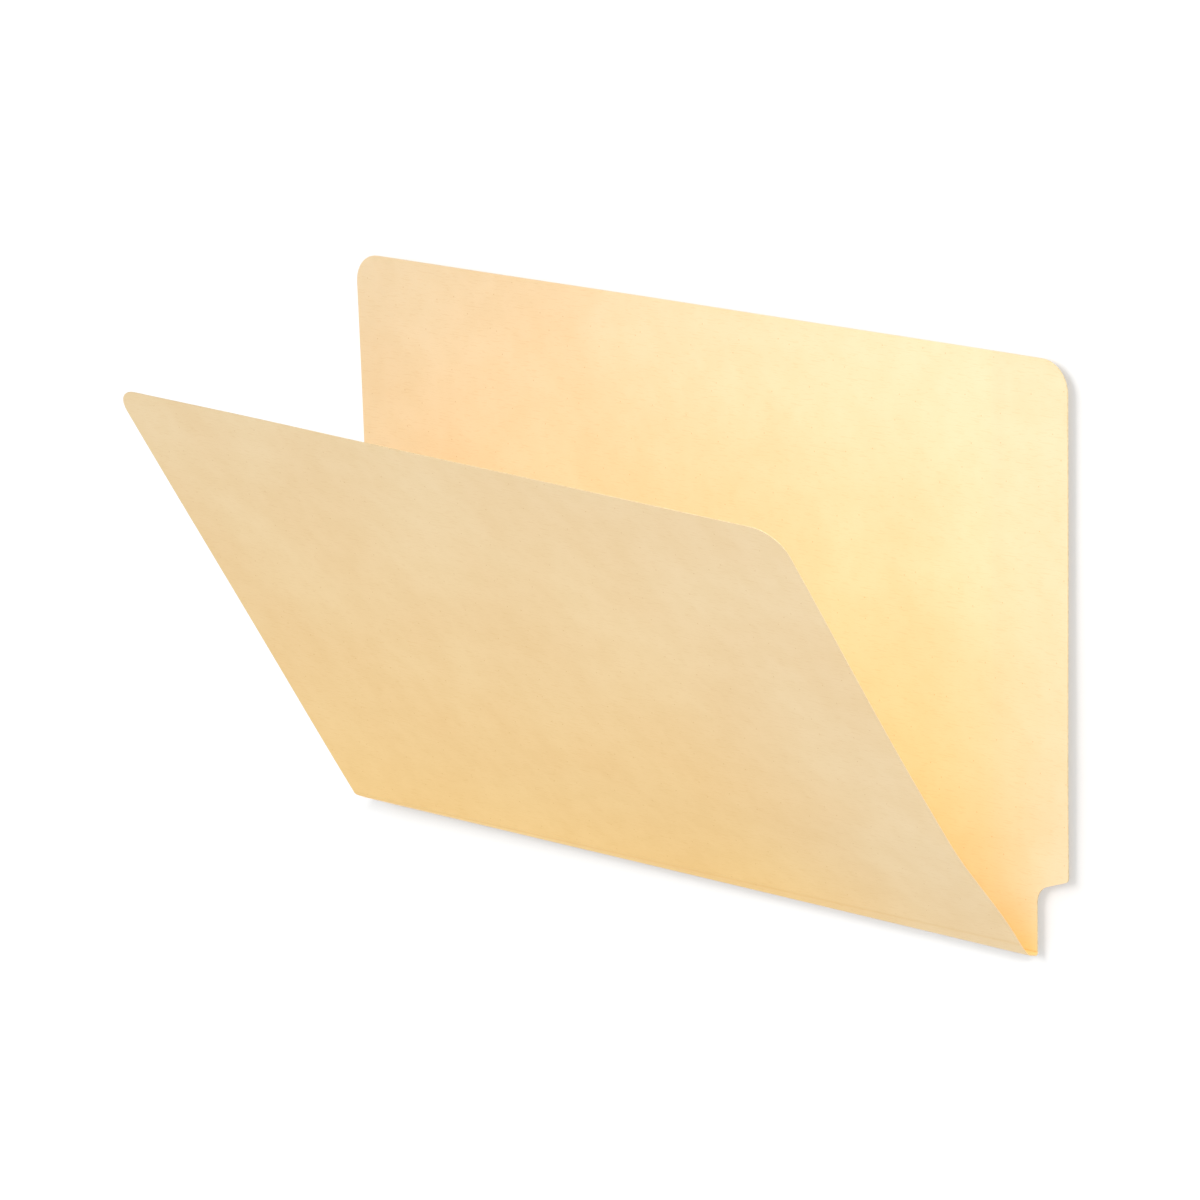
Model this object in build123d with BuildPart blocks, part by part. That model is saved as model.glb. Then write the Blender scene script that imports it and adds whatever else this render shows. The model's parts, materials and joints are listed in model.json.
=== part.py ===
"""End-tab manila folder, legal size, lying open on its back leaf.

One scored sheet of manila board makes the two leaves and the two narrow strips of the
expansion bottom between them. A second ply is glued inside the end tab. The folder lies
on the back leaf's outer face, with the front leaf raised over it on the three scores.

Frame, in millimetres: the origin is the middle of the back leaf's body, on its outer face.
+X runs along the fold to the end tab, +Y from the fold to the top edge, and +Z upwards.
"""

import os
from math import cos, radians, sin, tan

from build123d import *

# Board
BOARD = 0.28  # thickness of one ply, 11 point
PLY_BOARD = 0.28  # thickness of the ply glued inside the tab

# Leaves
BODY_WIDTH = 371.475  # along the fold, 14 5/8 in
LEAF_HEIGHT = 241.3  # from a leaf's own score to its top edge, 9 1/2 in
CORNER_RADIUS = 12.7  # the four top corners, 1/2 in

# End tab on the back leaf
TAB_WIDTH = 15.875  # how far it stands past the body, 5/8 in
UNDERCUT_HEIGHT = 27.4  # from the rear score to the tab's lower edge, at the body
UNDERCUT_SLOPE = 20.0  # rise of that edge towards the tab's outer end, degrees
UNDERCUT_FILLET = 8.0  # where that edge runs into the body
TAB_TOE_RADIUS = 2.0  # the tab's lower outer corner
PLY_DEPTH = 38.1  # from the tab's outer edge inwards, 1 1/2 in
PLY_SETBACK = 1.6  # bare board left between the ply and the rear score

# Expansion bottom
STRIP_WIDTH = 7.14375  # score to score, 9/32 in
TIGHTEST_FOLD = 100.0  # the sharpest fold that a score has room for, degrees

# Folds as the folder lies, in degrees from the flat sheet
REAR_FOLD = 86.0
MID_FOLD = 29.0
FRONT_FOLD = 30.0

# A score is a round bead on one panel's edge in a socket along the next panel's edge.
# The socket is wide enough that its two lips meet the first panel at the tightest fold.
BEAD_RADIUS = BOARD / 2
SOCKET_RADIUS = BEAD_RADIUS / cos(radians(TIGHTEST_FOLD / 2))

MIDDLE = BOARD / 2  # height of the back leaf's middle plane
FULL_WIDTH = BODY_WIDTH + TAB_WIDTH
ALONG_FOLD = (1, 0, 0)


def panel_direction(fold):
    """Unit vector along a panel that leaves its score at a fold counted from the flat sheet."""
    return Vector(0, -cos(radians(fold)), sin(radians(fold)))


def inner_normal(fold):
    """Unit vector square to that panel, on the side where papers lie."""
    return Vector(0, sin(radians(fold)), cos(radians(fold)))


REAR_TURN = REAR_FOLD
MID_TURN = REAR_TURN + MID_FOLD
FRONT_TURN = MID_TURN + FRONT_FOLD

rear_score = Vector(0, -LEAF_HEIGHT / 2, MIDDLE)
mid_score = rear_score + panel_direction(REAR_TURN) * STRIP_WIDTH
front_score = mid_score + panel_direction(MID_TURN) * STRIP_WIDTH


def side_view(length, socket=False, bead=False):
    """Section of a panel across the fold: its start at x = 0, its middle plane along y = 0."""
    with BuildSketch(mode=Mode.PRIVATE) as section:
        Rectangle(length, BOARD, align=(Align.MIN, Align.CENTER))
        if socket:
            Circle(SOCKET_RADIUS, mode=Mode.SUBTRACT)
        if bead:
            with Locations((length, 0)):
                Circle(BEAD_RADIUS)
    return section.sketch


def section_plane(start, direction, normal):
    """Plane across the fold whose x runs along a panel and whose y points to its inner side."""
    return Plane(origin=start, x_dir=direction, z_dir=direction.cross(normal))


def back_outline():
    """Plan of the back leaf: top corners rounded, tab at the right, undercut below the tab."""
    left = -BODY_WIDTH / 2
    right = BODY_WIDTH / 2
    tip = right + TAB_WIDTH
    top = LEAF_HEIGHT / 2
    score = -LEAF_HEIGHT / 2
    foot = score - BEAD_RADIUS
    heel = score + UNDERCUT_HEIGHT
    toe = heel + TAB_WIDTH * tan(radians(UNDERCUT_SLOPE))
    with BuildSketch(mode=Mode.PRIVATE) as outline:
        with BuildLine():
            Polyline(
                (left, foot), (left, top), (tip, top), (tip, toe), (right, heel), (right, foot), close=True
            )
        make_face()
        fillet(outline.vertices().group_by(Axis.Y)[-1], CORNER_RADIUS)
        fillet(outline.vertices().sort_by_distance((tip, toe))[0], TAB_TOE_RADIUS)
        fillet(outline.vertices().sort_by_distance((right, heel))[0], UNDERCUT_FILLET)
    return outline.sketch


# Back leaf: from its top edge down to the bead of the rear score
with BuildPart() as back_leaf:
    top_edge = Vector(0, LEAF_HEIGHT / 2, MIDDLE)
    with BuildSketch(section_plane(top_edge, Vector(0, -1, 0), Vector(0, 0, 1))):
        add(side_view(LEAF_HEIGHT, bead=True))
    extrude(amount=FULL_WIDTH, both=True)
    with BuildSketch():
        add(back_outline())
    extrude(amount=BOARD, mode=Mode.INTERSECT)
back_leaf.part.label = "back_leaf"

# Tab reinforcement: a second ply with the tab's own outline, glued to the inner face
with BuildPart() as tab_reinforcement:
    with BuildSketch(Plane.XY.offset(BOARD)):
        add(back_outline())
        with Locations((BODY_WIDTH / 2 + TAB_WIDTH, -LEAF_HEIGHT / 2 + PLY_SETBACK)):
            Rectangle(PLY_DEPTH, LEAF_HEIGHT, align=(Align.MAX, Align.MIN), mode=Mode.INTERSECT)
    extrude(amount=PLY_BOARD)
tab_reinforcement.part.label = "tab_reinforcement"

# Rear strip of the expansion bottom: from the rear score to the middle score
with BuildPart() as rear_gusset_strip:
    with BuildSketch(section_plane(rear_score, panel_direction(REAR_TURN), inner_normal(REAR_TURN))):
        add(side_view(STRIP_WIDTH, socket=True, bead=True))
    extrude(amount=BODY_WIDTH / 2, both=True)
rear_gusset_strip.part.label = "rear_gusset_strip"

# Front strip of the expansion bottom: from the middle score to the front score
with BuildPart() as front_gusset_strip:
    with BuildSketch(section_plane(mid_score, panel_direction(MID_TURN), inner_normal(MID_TURN))):
        add(side_view(STRIP_WIDTH, socket=True, bead=True))
    extrude(amount=BODY_WIDTH / 2, both=True)
front_gusset_strip.part.label = "front_gusset_strip"

# Front leaf: from the socket of the front score to its rounded top corners, with no tab
with BuildPart() as front_leaf:
    with BuildSketch(section_plane(front_score, panel_direction(FRONT_TURN), inner_normal(FRONT_TURN))):
        add(side_view(LEAF_HEIGHT, socket=True))
    extrude(amount=BODY_WIDTH / 2, both=True)
    with BuildSketch(Plane(front_score, x_dir=ALONG_FOLD, z_dir=-inner_normal(FRONT_TURN))) as cover_outline:
        Rectangle(BODY_WIDTH, LEAF_HEIGHT, align=(Align.CENTER, Align.MIN))
        fillet(cover_outline.vertices().group_by(Axis.Y)[-1], CORNER_RADIUS)
    extrude(amount=BOARD, both=True, mode=Mode.INTERSECT)
front_leaf.part.label = "front_leaf"

os.makedirs("parts", exist_ok=True)
export_step(back_leaf.part, "parts/back_leaf.step")
export_step(tab_reinforcement.part, "parts/tab_reinforcement.step")
export_step(rear_gusset_strip.part, "parts/rear_gusset_strip.step")
export_step(front_gusset_strip.part, "parts/front_gusset_strip.step")
export_step(front_leaf.part, "parts/front_leaf.step")

print("score axes, mm:")
for name, point in (("rear", rear_score), ("mid", mid_score), ("front", front_score)):
    print(f"  {name}: {point.X:.3f} {point.Y:.3f} {point.Z:.3f}")
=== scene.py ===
"""Looks of the end-tab manila folder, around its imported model, in metres and in the model's frame.

The folder lies on its back leaf, with its front leaf raised over it on three scores. Every piece
is a sheet of board: a middle surface worked out on a grid of rows and columns, with a board's
thickness laid half to each side. Rows run along the sheet, from the back leaf's top edge round
the fold to the front leaf's top edge, and columns run along the fold towards the tab.
"""

import json

import bpy
import numpy as np
from mathutils import Matrix, Vector


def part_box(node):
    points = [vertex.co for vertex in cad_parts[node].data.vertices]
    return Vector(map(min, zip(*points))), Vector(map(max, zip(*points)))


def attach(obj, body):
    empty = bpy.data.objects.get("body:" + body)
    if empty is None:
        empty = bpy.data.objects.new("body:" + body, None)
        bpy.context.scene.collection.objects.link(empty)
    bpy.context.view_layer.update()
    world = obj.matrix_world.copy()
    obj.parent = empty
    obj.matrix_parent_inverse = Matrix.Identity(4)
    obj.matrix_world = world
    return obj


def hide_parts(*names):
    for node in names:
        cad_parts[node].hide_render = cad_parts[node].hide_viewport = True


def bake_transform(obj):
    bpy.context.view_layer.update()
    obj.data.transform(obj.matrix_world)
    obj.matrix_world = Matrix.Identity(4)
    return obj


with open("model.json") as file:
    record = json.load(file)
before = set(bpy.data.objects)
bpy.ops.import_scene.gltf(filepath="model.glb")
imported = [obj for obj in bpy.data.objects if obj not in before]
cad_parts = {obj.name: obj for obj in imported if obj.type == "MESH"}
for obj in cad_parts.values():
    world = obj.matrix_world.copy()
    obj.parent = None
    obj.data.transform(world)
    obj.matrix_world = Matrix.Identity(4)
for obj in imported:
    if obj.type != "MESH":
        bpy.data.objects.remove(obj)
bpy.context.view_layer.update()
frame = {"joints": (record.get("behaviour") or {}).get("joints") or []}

# Scores, and their folds at rest: a score's lower limit is the flat sheet
SCORE_NAMES = ("rear_score", "mid_score", "front_score")
joints = {joint["name"]: joint for joint in frame["joints"]}
rear_score, mid_score, front_score = (np.array(joints[name]["pos_m"], float) for name in SCORE_NAMES)
rear_fold, mid_fold, front_fold = (-np.radians(joints[name]["range_deg"][0]) for name in SCORE_NAMES)

# Turns of the panels from lying flat, in radians
REAR_TURN = rear_fold
MID_TURN = REAR_TURN + mid_fold
FRONT_TURN = MID_TURN + front_fold

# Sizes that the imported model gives
back_low, back_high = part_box("back_leaf")
cover_low, cover_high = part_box("front_leaf")
ply_low, ply_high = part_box("tab_reinforcement")
LEFT = cover_low.x
RIGHT = cover_high.x
BODY_WIDTH = RIGHT - LEFT
TIP = back_high.x
TAB_WIDTH = TIP - RIGHT
LEAF_HEIGHT = back_high.y - rear_score[1]
STRIP = float(np.linalg.norm(mid_score - rear_score))
BOTTOM = 2.0 * STRIP  # both strips, from the rear score to the front score
BOARD = back_high.z - back_low.z
PLY = ply_high.z - ply_low.z
PLY_SETBACK = ply_low.y - rear_score[1]
PLY_LEFT = ply_low.x

# Outline, as die-cut
CORNER_RADIUS = 0.0127
UNDERCUT_HEIGHT = 0.0274  # from the rear score to the tab's lower edge, at the body
UNDERCUT_SLOPE = np.radians(20)
UNDERCUT_FILLET = 0.008
TOE_RADIUS = 0.002

# Creases: the sheet turns on an arc that starts and ends this far from the score
CREASE_REACH = 0.0013
CREASE_LIP = 0.0004  # flat board after an arc, before the next panel takes over

# The ply's inner edge is pressed thin
FEATHER_WIDTH = 0.0080  # width of the taper
FEATHER_PAST = 0.12  # share of that width past the edge at which the taper would come to nothing

# How the sheets hang: a leaf of board is never quite flat
LEFT_LIFT = 0.0030  # the back leaf's top left corner stands this high
TAB_CURL = 0.0002  # the tab's outer edge stands this high
TAB_CURL_START = 0.130  # where along the fold that curl begins
TAB_CURL_RISE = 0.060  # height over which it grows from nothing at the fold
COVER_DROOP = 0.0094  # the front leaf's top left corner hangs this far inside its plane
DROOP_POWER = 1.1  # how late up the leaf that droop comes in
COVER_BELLY = 0.0014  # the front leaf's right end swells this far outside its plane

# The fold's right end, where nothing fills it, closes up inwards and down
PINCH = 0.0054  # how far, at the front score
PINCH_TOWARDS = np.array([0.0, 0.85, -0.53])
PINCH_POWER = 1.2  # how late past the rear score it comes in
PINCH_FADE = 0.070  # height up the front leaf at which nothing is left of it

# Slow waves that damp leaves in any sheet of board: two, which cross slantwise
COCKLE = 0.0001  # rise of each wave above its middle
COCKLE_FADE = 0.090  # height over which they grow from nothing at the fold
FIRST_WAVE_ALONG = 0.210  # length of the first wave along the fold
FIRST_WAVE_UP = 0.300  # and up the leaf
SECOND_WAVE_ALONG = 0.145
SECOND_WAVE_UP = 0.190
SECOND_WAVE_SHIFT = 1.1  # radians

# Grid: steps along the fold, and rows over each stretch of the sheet
COLUMNS = 96
ROWS_CORNER = 10
ROWS_UPPER = 44
ROWS_TOE = 7
ROWS_HEEL = 8
ROWS_LOWER = 10
ROWS_CREASE = 14
ROWS_STRIP = 5
ROWS_COVER = 52
CROWDING = 0.7  # the rows below the heel lie closer together towards the crease
SHARP = np.radians(40)  # edges sharper than this stay crisp

# Patterns on the two faces of the sheet are this far apart, so that they differ
FACE_SHIFT = 1.0

# Painted shade and warm bounce light: the board's colour deepens towards the fold as a power of the
# height left, more so on the outside, and painted light keeps it pale along the right end, on the
# inside from a little above the fold
OUTER_TOP_TONE = 0.25
OUTER_POWER = 1.2
OUTER_PALE_FROM = 0.040
OUTER_PALE_TO = 0.180
INNER_FOLD_TONE = 0.80
INNER_POWER = 1.6
INNER_PALE_FROM = 0.120
INNER_PALE_TO = 0.212
INNER_PALE_RISE = 0.028

# Colours of the board; the fold colour is the painted shade and warm bounce light at the fold
PAINTED_FOLD_SHADE_COLOUR = "#FED68F"
TOP_COLOUR = "#F8E3BE"
PLY_TOP_COLOUR = "#F8E3BF"
WHITE = "#FFFFFF"

# Patterns of the board, in millimetres
CLOUD_SIZE = 12.0  # clouds of pulp
DRIFT_SIZE = 65.0  # broader drifts of tone
FIBRE_LENGTH = 5.0
FIBRE_WIDTH = 0.5  # about ten times as wide as real fibres, so as to show
SPECK_GAP = 16.0  # from one speck of bark to the next
SPECK_CORE = 0.128  # a speck is darkest up to here from its middle
SPECK_RIM = 0.352  # and ends here
TOOTH_SIZE = 0.9  # coarser than real tooth, so as to show
TORN_SIZE = 1.5  # streaks of a cut edge

# Relief and gloss of paper
SCORE_PRESS = 0.0012  # the burnish of a score reaches this far
TOOTH_DEPTH = 0.00004
FRAY_DEPTH = 0.00005
PAPER_IOR = 1.5
LEAST_ROUGH = 0.58
MOST_ROUGH = 0.76
EDGE_ROUGHNESS = 0.85

# Desk: matt, with as much glow to the camera as brings bare desk just past white
FLOOR_DROP = 0.0020  # the desk under a leaf that isn't pressed flat
FLOOR_REACH = 12.0  # side of the square
FLOOR_PALE = 0.36  # share of the light that it gives back
FLOOR_MARGIN = 0.10  # how far past white

# Light from all round, and what each desk lamp adds on bare desk
AMBIENT = 0.86
TAB_LIGHT = 1.00
FOLD_LIGHT = 1.19

# Key lamp: a soft spot beyond the tab and the top edge
KEY_FROM = Vector((0.58, 0.62, 0.52))
KEY_DISTANCE = 2.5
KEY_AIM = Vector((0.045, -0.05, 0.0))
KEY_RADIUS = 0.15
KEY_CONE = np.radians(15)
KEY_POWER = 186.0

# Desk lamps: one lays the leaf's shadow past the tab, the other lays the strips' shadow below the fold
TAB_LAMP_FROM = Vector((-0.60, 0.35, 0.50))
TAB_LAMP_SPREAD = np.radians(50)
FOLD_LAMP_FROM = Vector((0.65, 0.37, 0.60))
FOLD_LAMP_SPREAD = np.radians(30)

# The photograph's camera: far off, long lens, rolled so that the fold runs low across the picture
EYE = Vector((1.55116, 0.56548, 1.68555))
AIM = Vector((-0.01100, 0.00148, 0.04000))
PICTURE_UP = Vector((-0.15047, 0.97024, -0.18969))
LENS = 171.7

# Sockets of a colour Mix node, which has several of the same name
MIX_FACTOR, MIX_FIRST, MIX_SECOND, MIX_RESULT = 0, 6, 7, 2


def panel_direction(turn):
    """Unit vectors along the sheet at a turn from lying flat: 0, minus its cosine, its sine."""
    turn = np.asarray(turn, float)
    return np.stack([np.zeros_like(turn), -np.cos(turn), np.sin(turn)], axis=-1)


def smooth_step(low, high, value):
    """0 below low, 1 above high, and three squares less two cubes of the share between them."""
    share = np.clip((value - low) / (high - low), 0.0, 1.0)
    return share * share * (3.0 - 2.0 * share)


def spread(start, stop, count, power=1.0):
    """Values from start to stop, without start, whose share is the count's share to a power."""
    share = np.linspace(0.0, 1.0, count + 1)[1:] ** power
    return start + (stop - start) * share


def top_corner_rows():
    """Heights and insets of a rounded top corner, from the top edge down a quarter circle."""
    angle = np.radians(np.linspace(90.0, 0.0, ROWS_CORNER + 1))
    height = LEAF_HEIGHT - CORNER_RADIUS * (1.0 - np.sin(angle))
    inset = CORNER_RADIUS * (1.0 - np.cos(angle))
    return height, inset


def back_outline():
    """Rows of the back leaf: height above the score, left end and right end.

    From the top: a quarter circle at each corner, a straight stretch, the toe of the tab on an
    arc, the tab's sloping lower edge, the heel on a fillet, and a straight stretch to the crease.
    """
    corner_height, inset = top_corner_rows()
    slope_cos = np.cos(UNDERCUT_SLOPE)
    slope_sin = np.sin(UNDERCUT_SLOPE)
    quarter = np.pi / 2

    toe_reach = TAB_WIDTH - TOE_RADIUS
    toe_centre = UNDERCUT_HEIGHT + (TOE_RADIUS + slope_sin * toe_reach) / slope_cos
    toe_angle = np.linspace(0.0, UNDERCUT_SLOPE - quarter, ROWS_TOE + 1)
    toe_height = toe_centre + TOE_RADIUS * np.sin(toe_angle)
    toe_right = TIP - TOE_RADIUS + TOE_RADIUS * np.cos(toe_angle)

    heel_centre = UNDERCUT_HEIGHT - UNDERCUT_FILLET * (1.0 - slope_sin) / slope_cos
    heel_angle = np.linspace(UNDERCUT_SLOPE + quarter, np.pi, ROWS_HEEL + 1)
    heel_height = heel_centre + UNDERCUT_FILLET * np.sin(heel_angle)
    heel_right = RIGHT + UNDERCUT_FILLET + UNDERCUT_FILLET * np.cos(heel_angle)

    upper_height = spread(corner_height[-1], toe_height[0], ROWS_UPPER)[:-1]
    upper_right = np.full_like(upper_height, TIP)
    lower_height = spread(heel_height[-1], CREASE_REACH, ROWS_LOWER, power=CROWDING)
    lower_right = np.full_like(lower_height, RIGHT)
    height = np.concatenate([corner_height, upper_height, toe_height, heel_height, lower_height])
    right = np.concatenate([TIP - inset, upper_right, toe_right, heel_right, lower_right])
    left = np.full_like(height, LEFT)
    left[: inset.size] += inset
    return height, left, right


def cover_outline():
    """Rows of the front leaf, from its crease up to a quarter circle at each top corner."""
    corner_height, inset = top_corner_rows()
    start = CREASE_REACH + CREASE_LIP
    lower_height = np.linspace(start, corner_height[-1], ROWS_COVER)[:-1]
    height = np.concatenate([lower_height, corner_height[::-1]])
    inset = np.concatenate([np.zeros_like(lower_height), inset[::-1]])
    return height, LEFT + inset, RIGHT - inset


def columns_between(left, right):
    """A grid of places along the fold: each row runs in equal steps from its left to its right end."""
    share = np.linspace(0.0, 1.0, COLUMNS + 1)
    return left[:, None] + (right - left)[:, None] * share[None, :]


def cockle(along, height):
    """Two slow sine waves that cross slantwise, lifted clear of zero and faded out at the fold."""
    tau = 2.0 * np.pi
    first = np.sin(tau * (along / FIRST_WAVE_ALONG + height / FIRST_WAVE_UP))
    second = np.sin(tau * (along / SECOND_WAVE_ALONG - height / SECOND_WAVE_UP) + SECOND_WAVE_SHIFT)
    return COCKLE * smooth_step(0.0, COCKLE_FADE, height) * (2.0 + first + second)


def back_surface(along, height):
    """Middle of the back leaf: a plane whose left end lifts as the square of the distance from the
    right end and of the height, and whose tab curls up as the square of the distance past its start.
    The curl fades out at the fold, and the slow waves lie over both."""
    from_right = np.clip((RIGHT - along) / BODY_WIDTH, 0.0, 1.0)
    share = height / LEAF_HEIGHT
    lift = LEFT_LIFT * from_right**2 * share**2
    past = np.clip((along - TAB_CURL_START) / (TIP - TAB_CURL_START), 0.0, 1.0)
    curl = TAB_CURL * past**2 * smooth_step(0.0, TAB_CURL_RISE, height)
    rise = lift + curl + cockle(along, height)
    return np.stack([along, rear_score[1] + height, rear_score[2] + rise], axis=-1)


def cover_surface(along, height):
    """Middle of the front leaf: a plane on the front score that droops inwards at its left end as a
    power of the height, and swells outwards at its right end as a squared sine of the height. The
    droop, the swell and the slow waves fade out evenly towards the other end."""
    share = np.clip(height / LEAF_HEIGHT, 0.0, 1.0)
    from_right = (RIGHT - along) / BODY_WIDTH
    droop = COVER_DROOP * from_right * share**DROOP_POWER
    belly = COVER_BELLY * (1.0 - from_right) * np.sin(np.pi * share) ** 2
    inwards = np.array([0.0, np.sin(FRONT_TURN), np.cos(FRONT_TURN)])
    plane = front_score + height[..., None] * panel_direction(FRONT_TURN)
    plane[..., 0] = along
    return plane + (droop - belly + cockle(along, height) * from_right)[..., None] * inwards


def crease_rows(score, before, after):
    """Section of a crease: an arc that leaves one panel at a turn and meets the next at another.

    It starts and ends one reach from the score, so its radius is the reach over the tangent of
    half the fold. Returns the points and how far each has gone along the flat sheet from the score.
    """
    turn = np.linspace(before, after, ROWS_CREASE + 1)
    radius = CREASE_REACH / np.tan((after - before) / 2)
    start = score - CREASE_REACH * panel_direction(before)
    swing = np.stack([
        np.zeros_like(turn), np.sin(before) - np.sin(turn), np.cos(before) - np.cos(turn)
    ], axis=-1)
    arc = start + radius * swing
    lip = arc[-1] + CREASE_LIP * panel_direction(after)
    gone = np.linspace(-CREASE_REACH, CREASE_REACH, ROWS_CREASE + 1)
    return np.vstack([arc, lip]), np.append(gone, CREASE_REACH + CREASE_LIP)


def carry_along_fold(section):
    """A section across the fold, carried straight along it from the left end to the right end."""
    along = np.linspace(LEFT, RIGHT, COLUMNS + 1)
    grid = np.repeat(section[:, None, :], along.size, axis=1)
    grid[..., 0] = along
    return grid


def flat_place(grid, across):
    """Places on the flat sheet: along the fold as on the grid, and one distance across it per row,
    which is 0 on the rear score and falls past it towards the front leaf."""
    across = np.broadcast_to(np.asarray(across)[:, None], grid.shape[:2])
    return np.stack([grid[..., 0], across], axis=-1)


def sheet_normal(middle):
    """Unit normals of a middle surface, to the side where papers lie: the step from row to row
    crossed with the step from column to column."""
    normal = np.cross(np.gradient(middle, axis=0), np.gradient(middle, axis=1))
    return normal / np.linalg.norm(normal, axis=-1, keepdims=True)


def sheet_faces(rows, columns):
    """Quads of a closed sheet: its inner face, its outer face wound the other way, and the rim.

    The points are counted row by row over the inner face, and then again over the outer face.
    """
    count = rows * columns
    index = np.arange(count).reshape(rows, columns)
    inner = np.stack([index[:-1, :-1], index[1:, :-1], index[1:, 1:], index[:-1, 1:]], axis=-1)
    inner = inner.reshape(-1, 4)
    outer = inner[:, ::-1] + count
    loop = np.concatenate([index[:-1, 0], index[-1, :-1], index[:0:-1, -1], index[0, :0:-1]])
    ahead = np.roll(loop, -1)
    rim = np.stack([ahead, loop, loop + count, ahead + count], axis=-1)
    return inner, outer, rim


def sheet_painted_shade(along, across):
    """How deep the painted shade is at places on the flat sheet, on the inner face and then on the outer
    one.

    Nearness is 1 on the middle score and falls evenly to 0 at a leaf's top edge. Each face's painted
    shade of the fold is a power of it, less the painted light that keeps the right end pale, and the
    outer face's painted shade starts from more than nothing at the top, so that face is painted darker.
    """
    from_middle = np.abs(across + STRIP)
    nearness = np.clip(1.0 - from_middle / (LEAF_HEIGHT + STRIP), 0.0, 1.0)
    above_fold = smooth_step(0.0, INNER_PALE_RISE, from_middle - STRIP)
    inner_deep = 1.0 - smooth_step(INNER_PALE_FROM, INNER_PALE_TO, along) * above_fold
    inner_tone = INNER_FOLD_TONE * inner_deep * nearness**INNER_POWER
    outer_deep = 1.0 - smooth_step(OUTER_PALE_FROM, OUTER_PALE_TO, along)
    outer_tone = OUTER_TOP_TONE + (1.0 - OUTER_TOP_TONE) * outer_deep * nearness**OUTER_POWER
    return np.concatenate([inner_tone, outer_tone])


def distance_from_score(across):
    """How far places on the flat sheet are from the nearest of the three scores, for both faces."""
    scores = np.array([0.0, -STRIP, -BOTTOM])
    return np.tile(np.abs(across[:, None] - scores).min(axis=1), 2)


def board_piece(name, middle, flat, thickness, materials):
    """A closed sheet: a middle surface moved half a thickness along its normal to each side, with
    a rim between. flat holds each grid point's place on the flat sheet, along and across the fold."""
    rows, columns = middle.shape[:2]
    half = np.broadcast_to(thickness, (rows, columns))[..., None] / 2
    offset = sheet_normal(middle) * half
    points = np.concatenate([middle + offset, middle - offset]).reshape(-1, 3)
    inner, outer, rim = sheet_faces(rows, columns)
    quads = np.concatenate([inner, outer, rim])
    mesh = bpy.data.meshes.new(name)
    mesh.from_pydata(points.tolist(), [], quads.tolist())

    count = rows * columns
    place = flat.reshape(-1, 2)
    shifted = place + np.array([FACE_SHIFT, 0.0])
    corners = np.concatenate([shifted[inner], place[outer - count], place[rim % count]])
    mesh.uv_layers.new(name="sheet").uv.foreach_set("vector", corners.astype(np.float32).ravel())
    along, across = place.T
    # toning: painted shade and warm bounce light towards the fold, painted light at the right end
    shading = {"toning": sheet_painted_shade(along, across), "from_score": distance_from_score(across)}
    for label, values in shading.items():
        attribute = mesh.attributes.new(label, "FLOAT", "POINT")
        attribute.data.foreach_set("value", values.astype(np.float32))

    for material in materials:
        mesh.materials.append(material)
    is_rim = np.arange(len(quads)) >= len(inner) + len(outer)
    mesh.polygons.foreach_set("material_index", is_rim.astype(np.int32))
    mesh.polygons.foreach_set("use_smooth", np.ones(len(quads), bool))
    mesh.set_sharp_from_angle(angle=SHARP)
    mesh.validate()
    mesh.update()
    piece = bpy.data.objects.new(name, mesh)
    bpy.context.scene.collection.objects.link(piece)
    return piece


def pinch_fold(piece, flat):
    """Closes the fold up towards its right end. Past the rear score, every point moves inwards by a
    share that grows evenly along the fold, grows as a power of the distance from the rear score up
    to the front score, and fades out up the front leaf.
    """
    place = np.tile(flat.reshape(-1, 2), (2, 1))
    gone = np.clip(-place[:, 1], 0.0, None)
    across_bottom = np.clip(gone / BOTTOM, 0.0, 1.0) ** PINCH_POWER
    up_leaf = 1.0 - smooth_step(0.0, PINCH_FADE, gone - BOTTOM)
    along_fold = np.clip((place[:, 0] - LEFT) / BODY_WIDTH, 0.0, 1.0)
    moved = (PINCH * along_fold * across_bottom * up_leaf)[:, None] * PINCH_TOWARDS
    vertices = piece.data.vertices
    points = np.empty(3 * len(vertices), np.float32)
    vertices.foreach_get("co", points)
    vertices.foreach_set("co", points + moved.astype(np.float32).ravel())
    piece.data.update()


def make_back_leaf(materials):
    """Back leaf: its outline's rows on the lifted plane, then the rear crease round to the strip."""
    height, left, right = back_outline()
    along = columns_between(left, right)
    leaf = back_surface(along, np.broadcast_to(height[:, None], along.shape))
    arc, gone = crease_rows(rear_score, 0.0, REAR_TURN)
    middle = np.concatenate([leaf, carry_along_fold(arc)[1:]])
    flat = flat_place(middle, np.concatenate([height, -gone[1:]]))
    piece = board_piece("back_leaf_board", middle, flat, BOARD, materials)
    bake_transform(piece)
    pinch_fold(piece, flat)
    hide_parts("back_leaf")
    return piece


def make_strip(node, score, next_score, turn, next_turn, across, materials):
    """One narrow panel of the expansion bottom: flat from its own crease, then round the next one.
    across is its own score's place across the flat sheet."""
    offset = np.linspace(CREASE_REACH + CREASE_LIP, STRIP - CREASE_REACH, ROWS_STRIP)
    flat_rows = score + offset[:, None] * panel_direction(turn)
    arc, gone = crease_rows(next_score, turn, next_turn)
    middle = carry_along_fold(np.vstack([flat_rows, arc[1:]]))
    flat = flat_place(middle, across - np.concatenate([offset, STRIP + gone[1:]]))
    piece = board_piece(node + "_board", middle, flat, BOARD, materials)
    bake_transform(piece)
    pinch_fold(piece, flat)
    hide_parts(node)
    return piece


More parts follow.
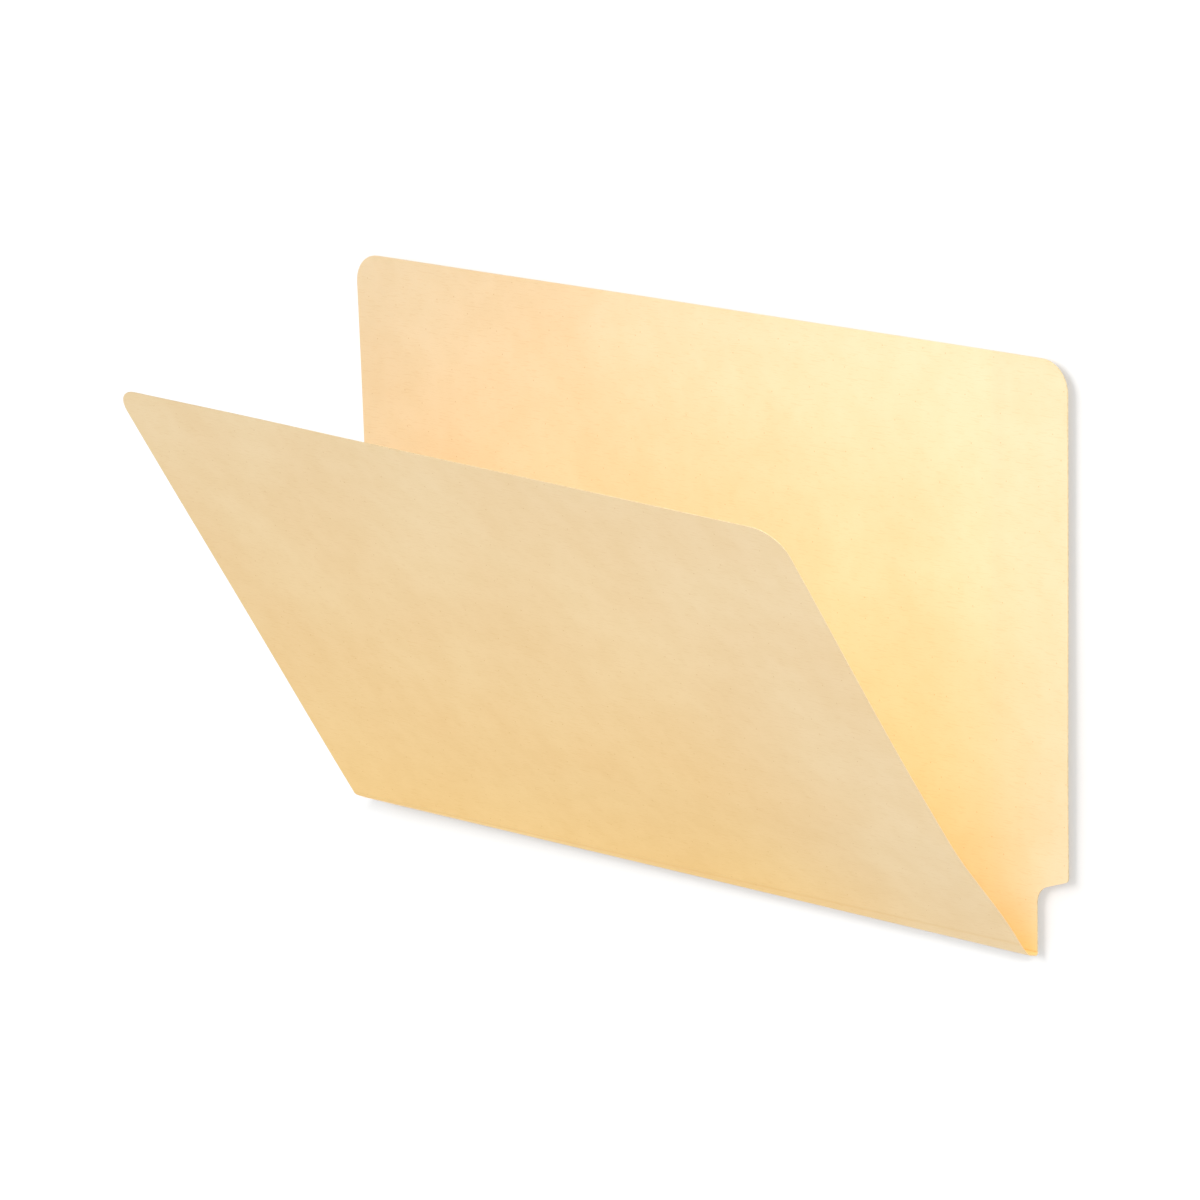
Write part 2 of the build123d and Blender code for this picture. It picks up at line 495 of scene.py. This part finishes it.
def make_front_leaf(materials):
    """Front leaf: its outline's rows on the drooping, swelling plane over the front score."""
    height, left, right = cover_outline()
    along = columns_between(left, right)
    middle = cover_surface(along, np.broadcast_to(height[:, None], along.shape))
    flat = flat_place(middle, -BOTTOM - height)
    piece = board_piece("front_leaf_board", middle, flat, BOARD, materials)
    pinch_fold(piece, flat)
    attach(piece, "front_leaf")
    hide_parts("front_leaf")


def make_tab_ply(materials):
    """Ply inside the tab: the back leaf's own rows, from the ply's inner edge to the tab's outline,
    laid on the board's inner face. Its inner edge is pressed down to a thin feather."""
    height, _, right = back_outline()
    kept = height > PLY_SETBACK
    height = np.append(height[kept], PLY_SETBACK)
    right = np.append(right[kept], RIGHT)
    along = columns_between(np.full_like(height, PLY_LEFT), right)
    leaf = back_surface(along, np.broadcast_to(height[:, None], along.shape))
    thickness = PLY * smooth_step(-FEATHER_PAST * FEATHER_WIDTH, FEATHER_WIDTH, along - PLY_LEFT)
    middle = leaf + sheet_normal(leaf) * ((BOARD + thickness) / 2)[..., None]
    piece = board_piece("tab_ply", middle, flat_place(middle, height), thickness, materials)
    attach(piece, "back_leaf")
    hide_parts("tab_reinforcement")
    return piece


def linear(hex_colour):
    """Linear RGBA of an sRGB hex colour: a twelfth-part slope near black, and a 2.4 power above."""
    value = np.array([int(hex_colour[k : k + 2], 16) for k in (1, 3, 5)]) / 255
    rgb = np.where(value <= 0.04045, value / 12.92, ((value + 0.055) / 1.055) ** 2.4)
    return (*rgb.tolist(), 1.0)


def per_metre(size_mm):
    """How many repeats of a pattern of this size, in millimetres, fit into one metre."""
    return 1000.0 / size_mm


def add_node(tree, kind, inputs=None, stops=None, **settings):
    """One shader node: its settings, its ramp's stops, and its inputs, linked or set."""
    made = tree.nodes.new(kind)
    for key, value in settings.items():
        setattr(made, key, value)
    if stops:
        ramp = made.color_ramp
        while len(ramp.elements) < len(stops):
            ramp.elements.new(1.0)
        for element, (position, colour) in zip(ramp.elements, stops):
            element.position = position
            element.color = linear(colour)
    for key, value in (inputs or {}).items():
        if isinstance(value, bpy.types.NodeSocket):
            tree.links.new(value, made.inputs[key])
        else:
            made.inputs[key].default_value = value
    return made


def manila_board(name, at_fold, at_top):
    """Manila: unbleached hemp and sulphite pulp, calendered smooth. It gives the eye a matt warm
    buff, cloudy where the pulp lies uneven, with short fibres in the making direction, a few
    darker specks and burnished lines along the scores, and its colour deepens towards the fold
    with painted shade and warm bounce light."""
    material = bpy.data.materials.new(name)
    material.use_nodes = True
    tree = material.node_tree
    tree.nodes.clear()
    sheet = add_node(tree, "ShaderNodeUVMap", uv_map="sheet").outputs["UV"]
    toning = add_node(tree, "ShaderNodeAttribute", attribute_name="toning").outputs["Fac"]
    from_score = add_node(tree, "ShaderNodeAttribute", attribute_name="from_score").outputs["Fac"]
    tints = []

    # Clouds of pulp and broader drifts of tone
    for size, detail, darkest in ((CLOUD_SIZE, 4.0, "#FDFCF9"), (DRIFT_SIZE, 2.0, "#FDFAF6")):
        cloud = add_node(
            tree, "ShaderNodeTexNoise", {"Vector": sheet, "Scale": per_metre(size), "Detail": detail},
            noise_dimensions="2D",
        )
        veil = add_node(
            tree, "ShaderNodeValToRGB", {"Fac": cloud.outputs["Fac"]}, [(0.35, darkest), (0.65, WHITE)]
        )
        tints.append(veil)

    # Fibres, which lie along the fold
    laid = add_node(
        tree, "ShaderNodeMapping",
        {"Vector": sheet, "Scale": (per_metre(FIBRE_LENGTH), per_metre(FIBRE_WIDTH), 1.0)},
    )
    fibre = add_node(
        tree, "ShaderNodeTexNoise",
        {"Vector": laid.outputs["Vector"], "Scale": 1.0, "Detail": 2.0, "Distortion": 0.6},
        noise_dimensions="2D",
    )
    strands = add_node(
        tree, "ShaderNodeValToRGB", {"Fac": fibre.outputs["Fac"]}, [(0.30, "#FBF8F2"), (0.42, WHITE)]
    )
    tints.append(strands)

    # Specks of bark in the pulp
    grit = add_node(
        tree, "ShaderNodeTexVoronoi", {"Vector": sheet, "Scale": per_metre(SPECK_GAP)},
        voronoi_dimensions="2D",
    )
    specks = add_node(
        tree, "ShaderNodeValToRGB", {"Fac": grit.outputs["Distance"]},
        [(SPECK_CORE / SPECK_GAP, "#EBDFC6"), (SPECK_RIM / SPECK_GAP, WHITE)],
    )
    tints.append(specks)

    # The scores are pressed and burnished
    pressed = add_node(
        tree, "ShaderNodeMapRange", {"Value": from_score, "From Min": 0.0, "From Max": SCORE_PRESS}
    )
    burnish = add_node(
        tree, "ShaderNodeValToRGB", {"Fac": pressed.outputs["Result"]}, [(0.0, "#FCF8F0"), (1.0, WHITE)]
    )
    tints.append(burnish)

    # Painted shade and warm bounce light from the top edge to the fold, times every tint
    tone = add_node(tree, "ShaderNodeValToRGB", {"Fac": toning}, [(0.0, at_top), (1.0, at_fold)])
    colour = tone.outputs["Color"]
    for tint in tints:
        mixed = add_node(
            tree, "ShaderNodeMix",
            {MIX_FACTOR: 1.0, MIX_FIRST: colour, MIX_SECOND: tint.outputs["Color"]},
            data_type="RGBA", blend_type="MULTIPLY",
        )
        colour = mixed.outputs[MIX_RESULT]

    # Tooth of the sheet, with the fibres over it
    tooth = add_node(
        tree, "ShaderNodeTexNoise", {"Vector": sheet, "Scale": per_metre(TOOTH_SIZE), "Detail": 3.0},
        noise_dimensions="2D",
    )
    grain = add_node(
        tree, "ShaderNodeBump",
        {"Height": tooth.outputs["Fac"], "Strength": 0.15, "Distance": TOOTH_DEPTH},
    )
    relief = add_node(
        tree, "ShaderNodeBump",
        {
            "Height": fibre.outputs["Fac"], "Strength": 0.12, "Distance": TOOTH_DEPTH,
            "Normal": grain.outputs["Normal"],
        },
    )
    rough = add_node(
        tree, "ShaderNodeMapRange",
        {"Value": tooth.outputs["Fac"], "To Min": LEAST_ROUGH, "To Max": MOST_ROUGH},
    )
    board = add_node(
        tree, "ShaderNodeBsdfPrincipled",
        {
            "Base Color": colour, "Roughness": rough.outputs["Result"], "IOR": PAPER_IOR,
            "Specular IOR Level": 0.3, "Normal": relief.outputs["Normal"],
        },
    )
    add_node(tree, "ShaderNodeOutputMaterial", {"Surface": board.outputs["BSDF"]})
    return material


def cut_edge(name):
    """The die-cut edge of manila: raw fibre that was never calendered, so duller than the faces and
    finely streaked along the cut. Its darker, greyer colour is painted shade on the rim."""
    material = bpy.data.materials.new(name)
    material.use_nodes = True
    tree = material.node_tree
    tree.nodes.clear()
    sheet = add_node(tree, "ShaderNodeUVMap", uv_map="sheet").outputs["UV"]
    torn = add_node(
        tree, "ShaderNodeTexNoise", {"Vector": sheet, "Scale": per_metre(TORN_SIZE), "Detail": 3.0},
        noise_dimensions="2D",
    )
    # Darker and greyer than the faces: painted shade on the rim
    tone = add_node(
        tree, "ShaderNodeValToRGB", {"Fac": torn.outputs["Fac"]}, [(0.3, "#CDB78A"), (0.7, "#DFCBA0")]
    )
    fray = add_node(
        tree, "ShaderNodeBump", {"Height": torn.outputs["Fac"], "Strength": 0.3, "Distance": FRAY_DEPTH}
    )
    edge = add_node(
        tree, "ShaderNodeBsdfPrincipled",
        {
            "Base Color": tone.outputs["Color"], "Roughness": EDGE_ROUGHNESS, "IOR": PAPER_IOR,
            "Specular IOR Level": 0.2, "Normal": fray.outputs["Normal"],
        },
    )
    add_node(tree, "ShaderNodeOutputMaterial", {"Surface": edge.outputs["BSDF"]})
    return material


def seen_directly(tree):
    """1 for rays from the camera, from a gloss or through glass, and 0 for light that spreads."""
    path = add_node(tree, "ShaderNodeLightPath")
    seen = path.outputs["Is Camera Ray"]
    for ray in ("Is Glossy Ray", "Is Transmission Ray"):
        either = add_node(tree, "ShaderNodeMath", {0: seen, 1: path.outputs[ray]}, operation="MAXIMUM")
        seen = either.outputs[0]
    return seen


def make_floor():
    """A plain desk: matt, with as much glow to the camera as brings bare desk just past white."""
    reach = FLOOR_REACH / 2
    plan = ((-reach, -reach), (reach, -reach), (reach, reach), (-reach, reach))
    mesh = bpy.data.meshes.new("desk")
    mesh.from_pydata([(x, y, -FLOOR_DROP) for x, y in plan], [], [(0, 1, 2, 3)])
    material = bpy.data.materials.new("desk_white")
    material.use_nodes = True
    tree = material.node_tree
    tree.nodes.clear()
    matt = add_node(tree, "ShaderNodeBsdfDiffuse", {"Color": (FLOOR_PALE, FLOOR_PALE, FLOOR_PALE, 1.0)})
    missing = 1.0 + FLOOR_MARGIN - FLOOR_PALE * (AMBIENT + TAB_LIGHT + FOLD_LIGHT)
    strength = add_node(tree, "ShaderNodeMath", {0: seen_directly(tree), 1: missing}, operation="MULTIPLY")
    glow = add_node(tree, "ShaderNodeEmission", {"Strength": strength.outputs[0]})
    both = add_node(tree, "ShaderNodeAddShader", {0: matt.outputs["BSDF"], 1: glow.outputs["Emission"]})
    add_node(tree, "ShaderNodeOutputMaterial", {"Surface": both.outputs["Shader"]})
    mesh.materials.append(material)
    floor = bpy.data.objects.new("desk", mesh)
    bpy.context.scene.collection.objects.link(floor)
    return floor


def make_world():
    """White to the camera, and a plain even light from all round on everything else."""
    world = bpy.data.worlds.new("studio")
    bpy.context.scene.world = world
    world.use_nodes = True
    tree = world.node_tree
    tree.nodes.clear()
    light = add_node(tree, "ShaderNodeBackground", {"Color": linear(WHITE), "Strength": AMBIENT})
    white = add_node(tree, "ShaderNodeBackground", {"Color": linear(WHITE), "Strength": 1.0})
    mixed = add_node(
        tree, "ShaderNodeMixShader",
        {0: seen_directly(tree), 1: light.outputs["Background"], 2: white.outputs["Background"]},
    )
    add_node(tree, "ShaderNodeOutputWorld", {"Surface": mixed.outputs["Shader"]})


def turn_towards(eye, aim, up):
    """Placing matrix for a camera or lamp: it looks along its own -Z from eye to aim, with +Y near up."""
    back = (eye - aim).normalized()
    right = up.cross(back).normalized()
    made = Matrix((right, back.cross(right), back)).transposed().to_4x4()
    made.translation = eye
    return made


def place_lamp(name, kind, eye, aim):
    """A lamp of one kind that looks from eye to aim."""
    lamp = bpy.data.lights.new(name, kind)
    placed = bpy.data.objects.new(name, lamp)
    bpy.context.scene.collection.objects.link(placed)
    placed.matrix_world = turn_towards(eye, aim, Vector((0.0, 0.0, 1.0)))
    return placed


def gather(name, pieces):
    """A collection of pieces that a lamp lights, leaves out or takes a shadow from."""
    made = bpy.data.collections.new(name)
    for piece in pieces:
        made.objects.link(piece)
    return made


def make_key_lamp(floor):
    """A soft spot, aimed at the back leaf. The desk is left out of it, because the raised leaf's long
    shadow would cross it."""
    placed = place_lamp("soft_spot", "SPOT", KEY_AIM + KEY_FROM.normalized() * KEY_DISTANCE, KEY_AIM)
    placed.data.shadow_soft_size = KEY_RADIUS
    placed.data.spot_size = KEY_CONE
    placed.data.spot_blend = 1.0
    placed.data.energy = KEY_POWER
    left_out = gather("unlit_by_spot", [floor])
    placed.light_linking.receiver_collection = left_out
    left_out.collection_objects[0].light_linking.link_state = "EXCLUDE"


def make_desk_lamp(name, come_from, angle, light, floor, blockers):
    """A broad light on the desk alone, that adds an even light to it from one side. Only the
    blockers cast a shadow in it, a short soft one."""
    placed = place_lamp(name, "SUN", come_from, Vector((0.0, 0.0, 0.0)))
    placed.data.angle = angle
    placed.data.energy = np.pi * light / come_from.normalized().z
    placed.light_linking.receiver_collection = gather(name + "_lights", [floor])
    placed.light_linking.blocker_collection = gather(name + "_shadows", blockers)


def make_camera():
    """A long lens at the photograph's viewing angle."""
    camera = bpy.data.cameras.new("camera")
    camera.lens = LENS
    placed = bpy.data.objects.new("camera", camera)
    bpy.context.scene.collection.objects.link(placed)
    placed.matrix_world = turn_towards(EYE, AIM, PICTURE_UP)
    bpy.context.scene.camera = placed


# Folder
raw_edge = cut_edge("manila_cut_edge")
board_face = manila_board("manila_board_calendered", PAINTED_FOLD_SHADE_COLOUR, TOP_COLOUR)
ply_face = manila_board("manila_tab_ply", PAINTED_FOLD_SHADE_COLOUR, PLY_TOP_COLOUR)
sheet_materials = (board_face, raw_edge)
back_leaf = make_back_leaf(sheet_materials)
rear_strip = make_strip(
    "rear_gusset_strip", rear_score, mid_score, REAR_TURN, MID_TURN,
    across=0.0, materials=sheet_materials,
)
front_strip = make_strip(
    "front_gusset_strip", mid_score, front_score, MID_TURN, FRONT_TURN,
    across=-STRIP, materials=sheet_materials,
)
tab_ply = make_tab_ply((ply_face, raw_edge))
make_front_leaf(sheet_materials)

# Stage
desk = make_floor()
make_world()
make_key_lamp(desk)
make_desk_lamp("tab_lamp", TAB_LAMP_FROM, TAB_LAMP_SPREAD, TAB_LIGHT, desk, [back_leaf, tab_ply])
make_desk_lamp("fold_lamp", FOLD_LAMP_FROM, FOLD_LAMP_SPREAD, FOLD_LIGHT, desk, [rear_strip, front_strip])
make_camera()
bpy.context.scene.view_settings.view_transform = "Standard"
